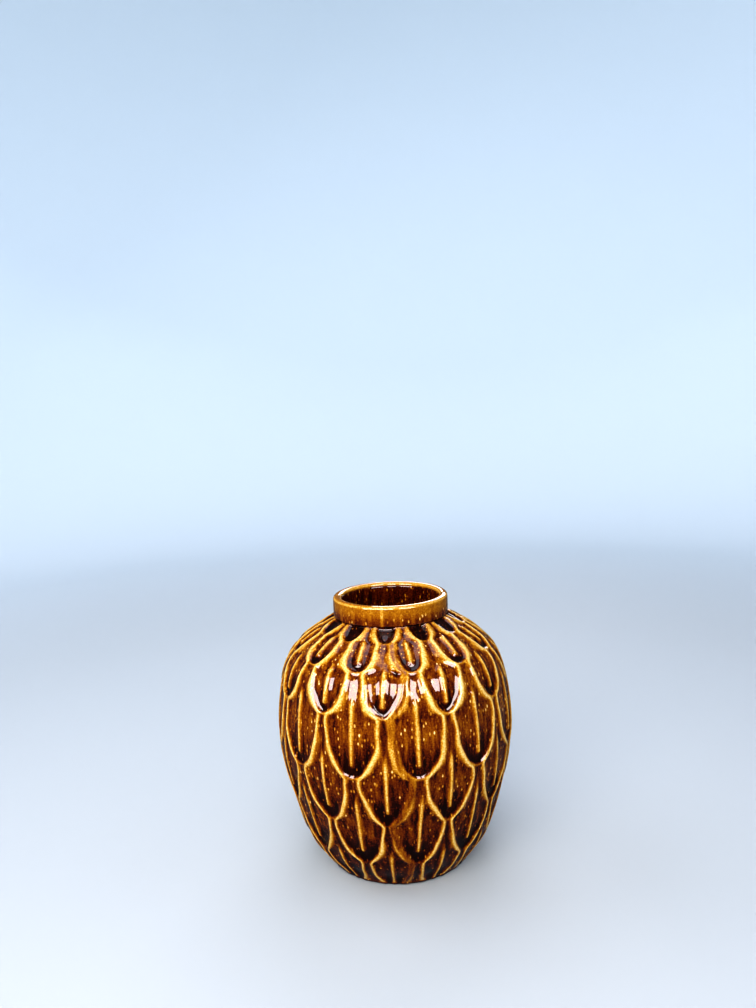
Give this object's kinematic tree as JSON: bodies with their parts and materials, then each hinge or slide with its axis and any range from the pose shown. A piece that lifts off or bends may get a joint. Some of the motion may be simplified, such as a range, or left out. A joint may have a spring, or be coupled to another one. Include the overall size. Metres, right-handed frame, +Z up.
{
  "type": "stoneware vase",
  "caption": "Round-bellied glazed stoneware vase pressed all over with overlapping petals, with a short straight collar and an open mouth that takes stems and water.",
  "frame": {"origin": "centre of the circle that the vase stands on, in the plane of the table", "axes": "+Z up along the vase's axis; -Y points to the front, out through the middle of a petal in the first, third, fifth and seventh rows; +X to the right seen from the front"},
  "size_m": [0.1996, 0.1996, 0.2276],
  "materials": {
    "fired_clay": "bare fired buff stoneware, matt, seen only at the foot",
    "amber_glaze": "glossy transparent amber glaze, honey yellow where it runs thin on the raised edges and near black where it pools",
    "liner_glaze": "glossy amber liner glaze, even"
  },
  "bodies": {
    "root": {"stoneware_body": "fired_clay", "outer_glaze": "amber_glaze", "inner_glaze": "liner_glaze"}
  },
  "joints": []
}
